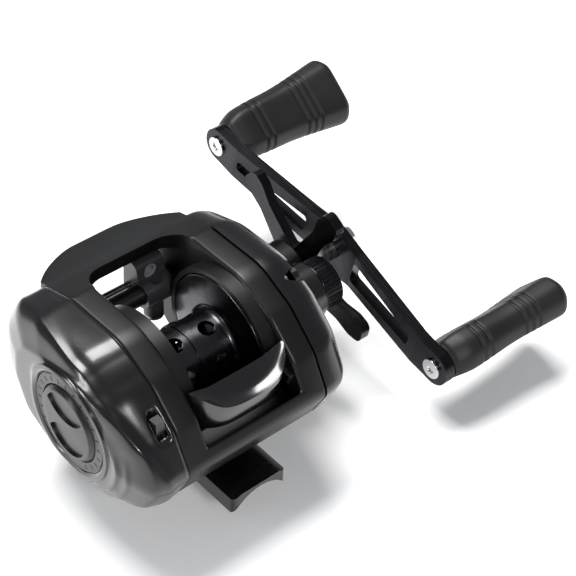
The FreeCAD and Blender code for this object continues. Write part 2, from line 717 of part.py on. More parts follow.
def cover_latch():
    """Small slide that locks the palm cover to the frame."""
    tab = block(left_face - 4.0, left_face - 1.7, LATCH_Y - 1.4, LATCH_Y + 1.0, axis_z + 5.6, axis_z + 10.0)
    return node("cover_latch", tab)


def brake_dial():
    """Dial with two hollows and a grip bar between them, on a stem through the cover."""
    start = dome_face - 1.3
    disc = turned([(start, 0, 0), (start, dial_radius - 0.8, 0.6), (start + 1.0, dial_radius, 0.4),
                   (dome_face + 0.9, dial_radius, 0), (dome_face + 0.9, 0, 0)])
    hollows = []
    for way in (-1, 1):
        lens = common(rod(7.0, start - 1, start + 0.7, 0.0, axis_z + way * 1.4),
                      rod(7.6, start - 1, start + 0.7, 0.0, axis_z + way * 8.6))
        hollows.append(lens)
    stem = rod(3.0, dome_face + 0.5, left_face - 2.0)
    return node("brake_dial", cut(join(disc, stem), *hollows))


def brake_cam():
    """Notched disc on the dial's stem whose ramps push the magnet carrier."""
    start = left_face - 2.0
    disc = rod(cam_radius, start, start + 0.9)
    notch = rod(0.5, start - 1, start + 2, 0.0, axis_z + cam_radius + 0.2)
    return node("brake_cam", cut(disc, spread(notch, 24)))


def magnet_carrier():
    start = left_face + 2.6
    plate = ring(bore - 2.1, 6.6, start, start + 1.6)
    pins = [rod(0.9, left_face - 1.0, start + 0.5, y, axis_z + z) for y, z in CARRIER_PINS]
    return node("magnet_carrier", join(plate, *pins))


def magnets():
    start = left_face + 4.2
    one = rod(2.0, start, start + 1.0, 0.0, axis_z + 10.7)
    return node("magnets", spread(one, 8))


# ---------------------------------------------------------------- spool

def spool():
    """Turned from one bar: thin flanges, a ported arbor with a raised band in the middle, and a hub."""
    flange_out = spool_half + flange_thick
    inside = arbor_radius - arbor_wall
    shell = turned([
        (-flange_out, inside, 0), (-flange_out, spool_radius, 0.4), (-spool_half, spool_radius, 0.3),
        (-spool_half + 0.9, arbor_radius, 1.6), (spool_half - 0.9, arbor_radius, 1.6),
        (spool_half, spool_radius, 0.3), (flange_out, spool_radius, 0.4), (flange_out, inside, 0)])
    band = ring(arbor_radius + 0.35, inside, -1.0, 1.0)
    webs = [ring(inside + 0.2, shaft_radius, x, x + 1.2) for x in (flange_out - 1.6, -flange_out + 0.4)]
    ports = [post(port_radius, x, 0, axis_z + 3, axis_z + arbor_radius + 2) for x in (-port_offset,
            port_offset)]
    return node("spool", cut(join(shell, band, *webs), spread(join(*ports), 6, first=14.0)))


def spool_shaft():
    web_place = spool_half + flange_thick + 0.4
    journal = rod(journal_radius, left_face + 2.4, -web_place)
    middle = rod(shaft_radius, -web_place, web_place)
    tip = rod(tip_radius, web_place, knob_start - 1.3)
    pin_hole = stand(bind(doc.addObject("Part::Cylinder", "Hole"), Radius=0.5, Height=5.0), web_inner + 0.7,
                     0,
                     axis_z - 2.5, UPRIGHT)
    return node("spool_shaft", cut(join(journal, middle, tip), pin_hole))


def spool_pin():
    """Cross pin that the pinion's slot drives."""
    x = web_inner + 0.7
    pin = stand(bind(doc.addObject("Part::Cylinder", "Pin"), Radius=0.5, Height=5.0), x, 0, axis_z - 2.5,
                UPRIGHT)
    return node("spool_pin", pin)


def brake_rotor():
    """Thin ring on the spool's left flange that the magnets act on."""
    start = -(spool_half + flange_thick)
    return node("brake_rotor", ring(13.8, arbor_radius, start - 0.6, start))


# ---------------------------------------------------------------- gears

def gear_shape(teeth, module, start, end, y, z, tooth_at, bore_radius, addendum=0.75, backlash=0.10):
    """A spur gear along X. Each flank is one arc through three points of its involute."""
    count = round(number(teeth))
    unit = number(module)
    pitch = unit * count / 2
    tip = pitch + addendum * unit
    foot = pitch - 1.05 * unit
    pressure = math.radians(25.0)
    base = pitch * math.cos(pressure)

    def half_angle(radius):
        """Half the angle that a tooth fills at a radius."""
        at_pitch = (math.pi * unit / 2 - backlash) / (2 * pitch)
        bend = math.acos(min(1.0, base / radius))
        return at_pitch + (math.tan(pressure) - pressure) - (math.tan(bend) - bend)

    def point(radius, angle):
        return Vector(number(start), number(y) + radius * math.cos(angle),
                      number(z) + radius * math.sin(angle))

    edges = []
    low = max(foot, base * 1.001)
    for index in range(count):
        middle = math.radians(tooth_at) + 2 * math.pi * index / count
        after = middle + 2 * math.pi / count
        radii = (low, (low + tip) / 2, tip)
        rise = [point(r, middle - half_angle(r)) for r in radii]
        fall = [point(r, middle + half_angle(r)) for r in reversed(radii)]
        start_foot = point(foot, middle - half_angle(low))
        end_foot = point(foot, middle + half_angle(low))
        next_foot = point(foot, after - half_angle(low))
        if low > foot + 1e-6:
            edges.append(Part.makeLine(start_foot, rise[0]))
        edges.append(Part.Arc(*rise).toShape())
        edges.append(Part.Arc(rise[2], point(tip, middle), fall[0]).toShape())
        edges.append(Part.Arc(*fall).toShape())
        if low > foot + 1e-6:
            edges.append(Part.makeLine(fall[2], end_foot))
        gap = (middle + half_angle(low) + after - half_angle(low)) / 2
        edges.append(Part.Arc(end_foot, point(foot, gap), next_foot).toShape())
    face = Part.Face(Part.Wire(edges))
    solid = face.extrude(Vector(number(end) - number(start), 0, 0))
    hole = Part.makeCylinder(number(bore_radius), number(end) - number(start) + 2,
                             Vector(number(start) - 1, number(y), number(z)), Vector(1, 0, 0))
    return solid.cut(hole)


def line_of_centres(y1, z1, y2, z2):
    return math.degrees(math.atan2(number(z2) - number(z1), number(y2) - number(y1)))


def drive_gear():
    """Brass main gear, hollowed on its outer side for the drag washers."""
    toward = line_of_centres(shaft_y, shaft_z, 0, axis_z)
    teeth = fixed_shape(gear_shape(drive_teeth, spool_module, gear_start, gear_end, shaft_y, shaft_z,
                                            toward, crank_radius))
    pocket = rod(10.2, gear_end - 1.5, gear_end + 1, shaft_y, shaft_z)
    return node("drive_gear", cut(teeth, pocket))


def pinion_gear():
    """Brass pinion that slides along the spool shaft: slot for the pin, groove for the yoke, teeth."""
    start = web_inner + 0.2
    groove = web_outer + 2.6
    collar = groove + 1.8
    teeth_start = gear_start - 1.8
    half_pitch = 180.0 / number(pinion_teeth)
    toward = line_of_centres(0, axis_z, shaft_y, shaft_z) + half_pitch
    teeth = fixed_shape(gear_shape(pinion_teeth, spool_module, teeth_start, gear_end + 0.3, 0, axis_z,
                                            toward, tip_radius + fit_gap))
    body = join(rod(3.0, start, groove), rod(2.0, groove - 0.1, collar + 0.1),
                rod(3.0, collar, teeth_start + 0.2),
                rod(1.65, gear_end, cover_face - 0.2))
    hole = rod(tip_radius + fit_gap, start - 1, cover_face + 1)
    slot = block(start - 1, start + 1.15, -0.6, 0.6, axis_z - 4, axis_z + 4)
    return node("pinion_gear", cut(join(body, teeth), hole, slot))


def level_wind_gear():
    toward = line_of_centres(shaft_y, shaft_z, worm_y, worm_z)
    start = web_outer + 0.8
    return node("level_wind_gear", fixed_shape(gear_shape(
        crank_teeth, guide_module, start, start + 2.0, shaft_y, shaft_z, toward, 2.0)))


def worm_gear():
    toward = line_of_centres(worm_y, worm_z, shaft_y, shaft_z) + 180.0 / number(worm_teeth)
    start = web_outer + 0.8
    return node("worm_gear", fixed_shape(gear_shape(
        worm_teeth, guide_module, start, start + 2.0, worm_y, worm_z, toward, 1.2)))


def worm_shaft():
    """Shaft with two crossing helical grooves that the line guide's pawl follows."""
    radius = number(tube_radius) - 0.85
    half = number(half_window) - 1.8
    depth = 0.45
    end = number(half_window) - 1.2
    core = Part.makeCylinder(radius, 2 * end)
    core.Placement = Placement(Vector(-end, 0, 0), Rotation(Vector(1, 0, 0), 37).multiply(ALONG_X))
    for left_handed in (False, True):
        helix = Part.makeHelix(5.6, 2 * half, radius + 0.05, 0, left_handed)
        helix.Placement = Placement(Vector(-half, 0, 0), ALONG_X)
        edge = helix.Edges[0]
        start = edge.valueAt(edge.FirstParameter)
        out = Vector(0, start.y, start.z).normalize() * depth
        across = edge.tangentAt(edge.FirstParameter).cross(out)
        corners = [start - out - across * 0.8, start - out + across * 0.8,
                   start + out + across * 1.2, start + out - across * 1.2]
        section = Part.makePolygon(corners + corners[:1])
        core = core.cut(Part.Wire(helix.Edges).makePipeShell([section], True, True))
    core.translate(Vector(0, number(worm_y), number(worm_z)))
    left = rod(1.2, left_face + 3.0, 1.25 - half_window, worm_y, worm_z)
    right = rod(1.2, half_window - 1.25, web_outer + 3.2, worm_y, worm_z)
    return node("worm_shaft", join(fixed_shape(core), left, right))


# ---------------------------------------------------------------- drive train

def drive_shaft():
    """Stepped shaft with a flange under the drive gear and a thread for the star and the nut."""
    steps = [rod(2.0, web_outer + 0.6, right_face - 1.6, shaft_y, shaft_z),
             rod(2.5, right_face - 1.7, gear_start - 0.2, shaft_y, shaft_z),
             rod(6.0, gear_start - 0.2, gear_start, shaft_y, shaft_z),
             rod(crank_radius, gear_start - 0.1, nut_start + 3.4, shaft_y, shaft_z)]
    return node("drive_shaft", join(*steps))


def drag_parts():
    """Carbon washer, keyed washer, second carbon washer and pressure plate, in the gear's pocket."""
    place = gear_end - 1.5
    for label, thick, radius in (("inner_drag_washer", 0.6, 9.8), ("keyed_washer", 0.6, 9.6),
                                 ("outer_drag_washer", 0.6, 9.8), ("pressure_plate", 0.6, 9.4)):
        node(label, ring(radius, crank_radius, place, place + thick, shaft_y, shaft_z))
        place = place + thick


def roller_sleeve():
    return node("roller_sleeve", ring(4.0, crank_radius, gear_end + 1.3, boss_end - 0.3, shaft_y, shaft_z))


def spring_washers():
    start = boss_end - 0.3
    return node("spring_washers", ring(4.6, crank_radius, start, start + 0.8, shaft_y, shaft_z))


def drag_star():
    """Star wheel: a hub and five arms that widen to round tips."""
    start = star_place - 1.3
    end = star_place + 1.3
    inner_end = boss_end + 0.6
    hub = join(rod(6.4, start, end + 0.3, shaft_y, shaft_z), rod(5.2, inner_end, end + 1.6, shaft_y, shaft_z))
    arm = arm_outline(start, end)
    arms = [turn_copy(arm, STAR_ANGLE + 72.0 * index, shaft_y, shaft_z) for index in range(5)]
    bore_hole = rod(crank_radius + fit_gap, inner_end - 1, end + 4, shaft_y, shaft_z)
    return node("drag_star", cut(join(hub, *arms), bore_hole))


def arm_outline(start, end):
    """One arm of the star, pointing along +Y from the drive shaft."""
    tip = star_radius
    body = prism(start, end, [(3.0, -3.4, 0), (tip - 9.0, -2.3, 4.0), (tip - 4.0, -3.3, 2.0),
                              (tip, -2.6, 2.0),
                              (tip, 2.6, 2.0), (tip - 4.0, 3.3, 2.0), (tip - 9.0, 2.3, 4.0), (3.0, 3.4, 0)])
    return stand(body, 0, shaft_y, shaft_z)


def tilted(made):
    """A piece drawn with the handle level, turned to the handle's rest angle about the drive shaft."""
    made.Placement = Placement(Vector(0, number(shaft_y), number(shaft_z)),
                               Rotation(Vector(1, 0, 0), number(handle_rise)))
    made.setExpression("Placement.Base.y", shaft_y.formula)
    made.setExpression("Placement.Base.z", shaft_z.formula)
    return made


def handle_arm():
    """Swept plate: middle stands out from the two ends, lightened by long slots."""
    half = handle_length / 2
    end = arm_end_radius
    edge = prism(-end - 3, end + 3, [
        (-half - end, arm_inner, 0), (-half + 7.0, arm_inner, 6.0), (-9.0, arm_middle, 6.0), (9.0,
                arm_middle, 6.0),
        (half - 7.0, arm_inner, 6.0), (half + end, arm_inner, 0), (half + end, arm_inner + arm_thick, 0),
        (half - 7.0, arm_inner + arm_thick, 6.0), (9.0, nut_start, 6.0), (-9.0, nut_start, 6.0),
        (-half + 7.0, arm_inner + arm_thick, 6.0), (-half - end, arm_inner + arm_thick, 0)], "XY_Plane")
    edge.Placement = Placement(Vector(), Rotation(Vector(0, 0, 1), -90))
    face = prism(0, 100, [
        (-half - end, -end, 4.5), (-half + 2.0, -end, 2.0), (-9.0, -5.6, 8.0), (0.0, -7.4, 6.0), (9.0, -5.6,
                8.0),
        (half - 2.0, -end, 2.0), (half + end, -end, 4.5), (half + end, end, 4.5), (half - 2.0, end, 2.0),
        (9.0, 5.6, 8.0), (0.0, 7.4, 6.0), (-9.0, 5.6, 8.0), (-half + 2.0, end, 2.0), (-half - end, end, 4.5)])
    blank = common(edge, face)
    front_slots = [prism(0, 100, [(9.5, -3.0, 1.0), (half - 19.0, -2.6, 1.0), (half - 17.0, 1.0, 1.0),
                                  (9.5, 2.6, 1.0)]),
                   prism(0, 100, [(half - 14.0, -1.5, 1.0), (half - 8.0, -1.5, 1.0), (half - 8.0, 1.5, 1.0),
                                  (half - 14.0, 1.5, 1.0)])]
    rear_slot = prism(0, 100, [(-9.0, -3.4, 1.0), (-9.0, 3.4, 1.0), (9.5 - half, 1.8, 1.0),
                               (9.5 - half, -1.8, 1.0)])
    holes = [rod(crank_radius, 0, 100, 0, 0), rod(1.6, 0, 100, half, 0), rod(1.6, 0, 100, -half, 0)]
    made = cut(blank, *front_slots, rear_slot, *holes)
    return node("handle_arm", tilted(made))


def handle_nut():
    """Hexagonal nut with a washer face and a domed end."""
    start = nut_start
    washer = rod(5.0, start, start + 0.6, shaft_y, shaft_z)
    flats = bind(doc.addObject("Part::Prism", "Hexagon"), Circumradius=4.9, Height=3.0)
    flats.Polygon = 6
    stand(flats, start + 0.5, shaft_y, shaft_z, ALONG_X)
    rounded = cone(5.2, 3.6, start + 0.5, start + 3.7, shaft_y, shaft_z)
    hexagon = common(flats, rounded)
    return node("handle_nut", cut(join(washer, hexagon),
                                  rod(crank_radius, start - 1, start + 5, shaft_y, shaft_z)))


def knob_spindles():
    """Two steel spindles riveted into the ends of the handle, with flat heads on the reel's side."""
    half = handle_length / 2
    made = []
    for way in (-1, 1):
        head = cut(rod(2.7, arm_inner - 0.7, arm_inner, way * half, 0),
                   rod(1.1, arm_inner - 1, arm_inner - 0.3, way * half, 0))
        shank = rod(1.6, arm_inner - 0.3, arm_inner + arm_thick + knob_length - 6.0, way * half, 0)
        cap = rod(2.2, arm_inner + arm_thick + knob_length - 6.0, arm_inner + arm_thick + knob_length - 5.2,
                  way * half, 0)
        made += [head, shank, cap]
    return node("knob_spindles", tilted(join(*made)))


def handle_knob(label, way):
    """Oval rubber knob: a neck by the handle, a long grip, two grooves, and a flared end with three more."""
    start = arm_inner + arm_thick + 0.4
    end = start + knob_length
    broad = knob_broad / 2
    thin = knob_thin / 2

    def section(x, wide, deep):
        corner = min(number(wide), number(deep)) * 0.75
        return (x, [(-wide, -deep, corner), (wide, -deep, corner), (wide, deep, corner),
                    (-wide, deep, corner)])

    body = loft([section(start, thin * 0.85, thin * 0.85), section(start + 5.0, broad * 0.72, thin * 0.95),
                 section(start + 19.0, broad * 0.80, thin * 0.88), section(end - 9.0, broad * 0.92,
                         thin * 0.95),
                 section(end - 2.2, broad, thin), section(end, broad * 0.86, thin * 0.8)])
    half = handle_length / 2
    turn = (front_knob_turn if way > 0 else rear_knob_turn) - handle_rise
    stand(body, 0, way * half, 0, Rotation(Vector(1, 0, 0), number(turn)))
    hollow = [rod(1.6 + 1.4, start - 1, end - 4.5, way * half, 0)]
    return node(label, tilted(cut(body, *hollow)))


def knob_bushings(label, way):
    """A plain bush at each end of a knob's spindle."""
    start = arm_inner + arm_thick + 0.4
    half = handle_length / 2
    far = start + knob_length - 7.5
    return node(label, tilted(join(ring(3.0, 1.6 + fit_gap, start + 0.1, start + 3.6, way * half, 0),
                                   ring(3.0, 1.6 + fit_gap, far - 3.0, far, way * half, 0))))


# ---------------------------------------------------------------- clutch

def thumb_bar():
    """Crescent bar behind the spool, with a tenon through the right plate."""
    half = half_window - 0.3
    front = -bore - 1.6
    view = side(-half, half, [(front, 0.6, 0), (front + 0.4, 7.5, 2.0), (front + 0.4, 11.2, 1.0),
                              (front - 2.4, 10.4, 2.0), (2.3 - rear_reach, 5.0, 2.0), (2.3 - rear_reach,
                                      0.6, 0)])
    depth = rear_reach - 2.3 - 20.0
    arc = (half * half + depth * depth) / (2 * depth)
    plan = post(arc, 0, arc + 2.3 - rear_reach, axis_z - 1, axis_z + 14)
    tenon = block(half - 1.0, web_outer + 0.9, tenon_rear, tenon_front, axis_z + 0.8, axis_z + 3.4)
    return node("thumb_bar", join(common(view, plan), tenon))


def clutch_cam():
    """Fork under the pinion that moves down with the thumb bar; its two ramps push the yoke outwards."""
    start = web_outer + 0.9
    end = start + 1.2
    fork = cut(block(start, end, -6.5, 6.5, axis_z - 5.2, axis_z + 11.0),
               block(start - 1, end + 1, -4.2, 4.2, axis_z - 3.4, axis_z + 12.0))
    arm = block(start, end, tenon_rear, -6.4, axis_z + 0.8, axis_z + 3.4)
    low = axis_z - 3.0
    ramps = [prism_y(y, y + 1.8, [(end, low), (end + yoke_travel, low + bar_travel),
                                  (end + yoke_travel, axis_z + 10.5), (end, axis_z + 10.5)]) for y in (-6.3,
                                          4.5)]
    return node("clutch_cam", join(fork, arm, *ramps))


def prism_y(start, end, corners):
    """A body: an outline in X and Z padded along Y."""
    body = doc.addObject("PartDesign::Body", "Across")
    sketch = outline(body, "XZ_Plane", -start, [(x, z, 0) for x, z in corners])
    pad = body.newObject("PartDesign::Pad", "Pad")
    pad.Profile = sketch
    pad.Reversed = True
    bind(pad, Length=end - start)
    return body


def clutch_yoke():
    """Plate on two posts that holds the pinion's groove; its feet ride on the cam."""
    start = web_outer + 2.9
    end = start + 1.2
    plate = side(start, end, [(-2.6, -13.2, 2.0), (2.6, -13.2, 2.0), (6.3, -8.0, 1.0), (6.3, -3.0, 0),
                              (4.2, -3.0, 0), (4.2, 8.0, 1.0), (2.6, 13.2, 1.5), (-2.6, 13.2, 1.5),
                              (-4.2, 8.0, 1.0), (-4.2, -3.0, 0), (-6.3, -3.0, 0), (-6.3, -8.0, 1.0)])
    mouth = block(start - 1, end + 1, 0, 8, axis_z - 2.3, axis_z + 2.3)
    holes = [rod(1.0 + fit_gap, start - 1, end + 1, 0.0, axis_z + z) for z in (-11.0, 11.0)]
    feet = [block(web_outer + 2.4, start + 0.1, y, y + 1.6, axis_z - 5.0, axis_z - 3.0) for y in (-6.2, 4.6)]
    return node("clutch_yoke", cut(join(plate, *feet), rod(2.3, start - 1, end + 1), mouth, *holes))


# ---------------------------------------------------------------- level wind

def line_guide():
    """Block that slides on the guard tube and the rod, with an upright eye for the line."""
    low = guide_place - guide_width / 2
    high = guide_place + guide_width / 2
    collar = rod(tube_radius + 1.1, low, high, worm_y, worm_z)
    upright = side(low, high, [(worm_y - 3.4, 1.0, 0), (rod_y + 2.0, 0.0, 1.0), (rod_y + 1.4, 9.6, 2.5),
                               (rod_y - 3.4, 9.6, 2.0), (rod_y - 4.4, 5.0, 2.0)])
    leg = post(2.5, guide_place, worm_y, worm_z - 7.4, worm_z)
    eye = stand(bind(doc.addObject("Part::Cylinder", "Eye"), Radius=2.0, Height=14), guide_place, rod_y - 8,
                eye_z, ALONG_Y)
    holes = [rod(tube_radius + fit_gap, low - 1, high + 1, worm_y, worm_z),
             rod(1.0 + fit_gap, low - 1, high + 1, rod_y, rod_z), eye,
             post(1.6, guide_place, worm_y, worm_z - 8, worm_z)]
    return node("line_guide", cut(join(collar, upright, leg), *holes))


def guide_insert():
    """Hard ring in the eye."""
    start = rod_y - 3.3
    outer = stand(bind(doc.addObject("Part::Cylinder", "Insert"), Radius=2.0, Height=4.9), guide_place,
                  start, eye_z,
                  ALONG_Y)
    inner = stand(bind(doc.addObject("Part::Cylinder", "Insert"), Radius=1.4, Height=6.9), guide_place,
                  start - 1,
                  eye_z, ALONG_Y)
    return node("guide_insert", cut(outer, inner))


def guide_pawl():
    """Pawl that stands in the leg; its tip stops just short of the worm's groove."""
    tip = worm_z - (tube_radius - 0.85) - 0.3
    return node("guide_pawl", join(post(1.55, guide_place, worm_y, worm_z - 6.6, worm_z - tube_radius - 0.2),
                                   post(0.8, guide_place, worm_y, worm_z - tube_radius - 0.5, tip)))


def pawl_cap():
    """Slotted screw cap under the pawl."""
    cap = join(post(2.5, guide_place, worm_y, worm_z - 8.4, worm_z - 7.4),
               post(1.6, guide_place, worm_y, worm_z - 7.5, worm_z - 6.7))
    slot = block(guide_place - 3, guide_place + 3, worm_y - 0.3, worm_y + 0.3, worm_z - 9, worm_z - 8.0)
    return node("pawl_cap", cut(cap, slot))


# ---------------------------------------------------------------- spool tension

def tension_knob():
    """Knurled cap on the spool boss."""
    start = knob_start
    cap = turned([(start, 0, 0), (start, tension_radius, 0.4), (knob_end - 0.6, tension_radius, 0.4),
                  (knob_end, tension_radius - 0.9, 0.3), (knob_end, 0, 0)])
    hollow = rod(5.0, start - 1, knob_end - 1.2)
    flute = rod(0.35, start + 0.5, knob_end + 1, 0.0, axis_z + tension_radius + 0.1)
    return node("tension_knob", cut(cap, hollow, spread(flute, 36)))


# ---------------------------------------------------------------- build

main_frame()
reel_foot()
foot_screws()
set_plate()
set_plate_screws()
shaft_bushing()
handle_side_cover()
cover_screws()
bearing("pinion_bearing", 5.0, 3.0 + fit_gap, web_inner, web_outer)
bearing("right_spool_bearing", 4.0, tip_radius + fit_gap, knob_start - 6.5, knob_start - 3.5)
bearing("anti_reverse_bearing", 7.0, 4.0 + fit_gap, gear_end + 6.5, gear_end + 14.5, shaft_y, shaft_z)
bearing("shaft_bearing", 7.0, 4.0 + fit_gap, boss_end - 3.6, boss_end - 0.4, shaft_y, shaft_z)
bearing("left_spool_bearing", 5.0, journal_radius + fit_gap, left_face + 2.5, left_face + 6.5)
worm_guard()
guide_rod()
worm_bearings()
yoke_posts()
yoke_springs()
palm_cover()
brake_housing()
housing_screws()
dial_bezel()
click_spring()
cover_latch()
brake_dial()
brake_cam()
magnet_carrier()
magnets()
spool()
spool_shaft()
spool_pin()
brake_rotor()
drive_gear()
pinion_gear()
level_wind_gear()
worm_gear()
worm_shaft()
drive_shaft()
drag_parts()
roller_sleeve()
spring_washers()
drag_star()
handle_arm()
handle_nut()
knob_spindles()
handle_knob("front_knob", 1)
handle_knob("rear_knob", -1)
knob_bushings("front_knob_bushings", 1)
knob_bushings("rear_knob_bushings", -1)
thumb_bar()
clutch_cam()
clutch_yoke()
line_guide()
guide_insert()
guide_pawl()
pawl_cap()
tension_knob()

doc.recompute()
faulty = [thing.Label for thing in doc.Objects if "Invalid" in thing.State or "Error" in thing.State]
faulty += [label for label, made in NODES.items() if made.Shape.isNull() or not made.Shape.isValid()]
if faulty:
    raise RuntimeError(f"not built: {faulty}")
for label, made in NODES.items():
    made.Shape.exportStep(f"parts/{label}.step")
print(len(NODES), "sub-parts written")
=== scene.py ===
"""Low-profile baitcasting reel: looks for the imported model, in the same frame, in metres."""
import bpy
import bmesh
import json
import math
from mathutils import Matrix, Vector
from mathutils.bvhtree import BVHTree


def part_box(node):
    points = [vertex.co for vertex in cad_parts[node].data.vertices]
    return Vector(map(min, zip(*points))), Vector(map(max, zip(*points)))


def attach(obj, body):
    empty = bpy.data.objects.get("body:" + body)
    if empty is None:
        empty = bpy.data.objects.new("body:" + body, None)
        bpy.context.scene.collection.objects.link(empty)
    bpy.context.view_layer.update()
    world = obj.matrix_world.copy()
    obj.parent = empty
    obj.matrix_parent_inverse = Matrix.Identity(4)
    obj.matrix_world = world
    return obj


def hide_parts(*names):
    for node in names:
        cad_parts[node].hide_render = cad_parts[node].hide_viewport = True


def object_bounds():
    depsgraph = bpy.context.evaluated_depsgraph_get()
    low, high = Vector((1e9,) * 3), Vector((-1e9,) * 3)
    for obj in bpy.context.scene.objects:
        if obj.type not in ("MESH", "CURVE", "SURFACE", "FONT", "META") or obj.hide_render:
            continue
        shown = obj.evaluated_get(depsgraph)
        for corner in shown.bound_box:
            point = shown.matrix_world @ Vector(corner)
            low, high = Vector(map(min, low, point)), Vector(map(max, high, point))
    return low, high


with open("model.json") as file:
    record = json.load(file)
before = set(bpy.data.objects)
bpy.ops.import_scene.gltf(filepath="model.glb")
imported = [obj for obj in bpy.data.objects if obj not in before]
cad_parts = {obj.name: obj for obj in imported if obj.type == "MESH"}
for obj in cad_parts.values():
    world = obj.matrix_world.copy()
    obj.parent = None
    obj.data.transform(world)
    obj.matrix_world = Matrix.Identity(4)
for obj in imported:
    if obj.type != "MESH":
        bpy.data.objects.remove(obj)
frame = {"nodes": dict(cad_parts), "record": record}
cad_low, cad_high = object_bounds()
MM = 0.001


# ---------------------------------------------------------------- studio
# A pale paper floor just under the reel, a soft grey room, and three large soft boxes:
# one overhead, one low on the palm side that draws the long streaks on the glossy cover, one behind.

def hex_colour(code):
    """sRGB hex to the linear colour that shaders take."""
    channels = [int(code[i:i + 2], 16) / 255 for i in (1, 3, 5)]
    linear = [c / 12.92 if c <= 0.04045 else ((c + 0.055) / 1.055) ** 2.4 for c in channels]
    return (*linear, 1.0)


def add(tree, kind, settings=None, values=None):
    """Add a shader node; values are socket values, or sockets that feed them."""
    made = tree.nodes.new(kind)
    for name, value in (settings or {}).items():
        setattr(made, name, value)
    for name, value in (values or {}).items():
        if isinstance(value, bpy.types.NodeSocket):
            tree.links.new(value, made.inputs[name])
        else:
            made.inputs[name].default_value = value
    return made


def new_material(name):
    """An empty node material and its output."""
    made = bpy.data.materials.new(name)
    made.use_nodes = True
    made.node_tree.nodes.clear()
    return made, made.node_tree


def paper():
    """Seamless studio paper: matt and pale, with a faint unevenness."""
    made, tree = new_material("studio_paper")
    place = add(tree, "ShaderNodeTexCoord")
    mottle = add(tree, "ShaderNodeTexNoise", values={
        "Vector": place.outputs["Object"], "Scale": 9.0, "Detail": 3.0})
    tone = add(tree, "ShaderNodeValToRGB", values={"Fac": mottle.outputs["Fac"]})
    tone.color_ramp.elements[0].color = hex_colour("#f6f6f6")
    tone.color_ramp.elements[1].color = hex_colour("#fbfbfb")
    surface = add(tree, "ShaderNodeBsdfPrincipled", values={
        "Base Color": tone.outputs["Color"], "Roughness": 0.8})
    add(tree, "ShaderNodeOutputMaterial", values={"Surface": surface.outputs["BSDF"]})
    return made


def soft_box(name, place, aim, width, height, power):
    """A rectangular area light aimed at a point."""
    light = bpy.data.lights.new(name, "AREA")
    light.shape = "RECTANGLE"
    light.size = width
    light.size_y = height
    light.energy = power
    made = bpy.data.objects.new(name, light)
    bpy.context.scene.collection.objects.link(made)
    made.location = place
    made.rotation_euler = (Vector(aim) - Vector(place)).to_track_quat("-Z", "Y").to_euler()
    return made


floor_mesh = bpy.data.meshes.new("floor")
shape = bmesh.new()
bmesh.ops.create_grid(shape, x_segments=1, y_segments=1, size=3.0)
bmesh.ops.translate(shape, verts=shape.verts, vec=(0, 0, cad_low.z - 0.2 * MM))
shape.to_mesh(floor_mesh)
shape.free()
floor = bpy.data.objects.new("floor", floor_mesh)
bpy.context.scene.collection.objects.link(floor)
floor.data.materials.append(paper())

world = bpy.data.worlds.new("studio")
bpy.context.scene.world = world
world.use_nodes = True
world.node_tree.nodes["Background"].inputs["Color"].default_value = hex_colour("#e6e9ee")
world.node_tree.nodes["Background"].inputs["Strength"].default_value = 0.30

reel = (0.01, 0.0, 0.03)
soft_box("overhead_box", (0.05, 0.30, 0.95), reel, 0.70, 0.44, 16.0)
soft_box("palm_side_box", (-0.80, 0.22, 0.30), reel, 0.10, 0.50, 3.0)
soft_box("rear_box", (-0.30, -0.95, 0.75), reel, 0.30, 0.16, 6.0)
bpy.context.scene.view_settings.view_transform = "Standard"


# ---------------------------------------------------------------- camera
# A long lens above the rear of the palm side, turned a little about its own axis.

azimuth, elevation, roll = math.radians(-41.75), math.radians(41.37), math.radians(1.55)
back = Vector((math.sin(azimuth) * math.cos(elevation), -math.cos(azimuth) * math.cos(elevation),
               math.sin(elevation)))
level = Vector((math.cos(azimuth), math.sin(azimuth), 0))
upright = back.cross(level)
right = level * math.cos(roll) + upright * math.sin(roll)
up = upright * math.cos(roll) - level * math.sin(roll)
spool_low, spool_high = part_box("spool")
spool_middle = (spool_low + spool_high) / 2
stand_off = right * 23.548 * MM + up * 16.074 * MM + back * 394.433 * MM

lens = bpy.data.cameras.new("camera")
lens.lens = 107.33
lens.sensor_width = 36.0
lens.clip_start = 0.01
camera = bpy.data.objects.new("camera", lens)
bpy.context.scene.collection.objects.link(camera)
turn = Matrix((right, up, back)).transposed().to_4x4()
camera.matrix_world = Matrix.Translation(spool_middle + stand_off) @ turn
bpy.context.scene.camera = camera


# ---------------------------------------------------------------- frame
# Die-cast magnesium frame with matt black powder paint: fine grain, soft sheen, slightly rounded edges.
# One casting, with the hood over the line guide part of it.

BODY = {node: body for body, nodes in frame["record"]["behaviour"]["bodies"].items() for node in nodes}


def finished(shape, name, sharp):
    """Turn a bmesh into a linked object, smooth except where faces meet at more than sharp degrees."""
    for face in shape.faces:
        face.smooth = True
    for edge in shape.edges:
        edge.smooth = len(edge.link_faces) == 2 and edge.calc_face_angle(0) < math.radians(sharp)
    mesh = bpy.data.meshes.new(name)
    shape.to_mesh(mesh)
    shape.free()
    made = bpy.data.objects.new(name, mesh)
    bpy.context.scene.collection.objects.link(made)
    return made


def round_edges(made, width, segments, sharp):
    """Round every edge sharper than sharp degrees by width mm, at render time."""
    rounding = made.modifiers.new("rounding", "BEVEL")
    rounding.width = width * MM
    rounding.segments = segments
    rounding.limit_method = "ANGLE"
    rounding.angle_limit = math.radians(sharp)
    rounding.harden_normals = True


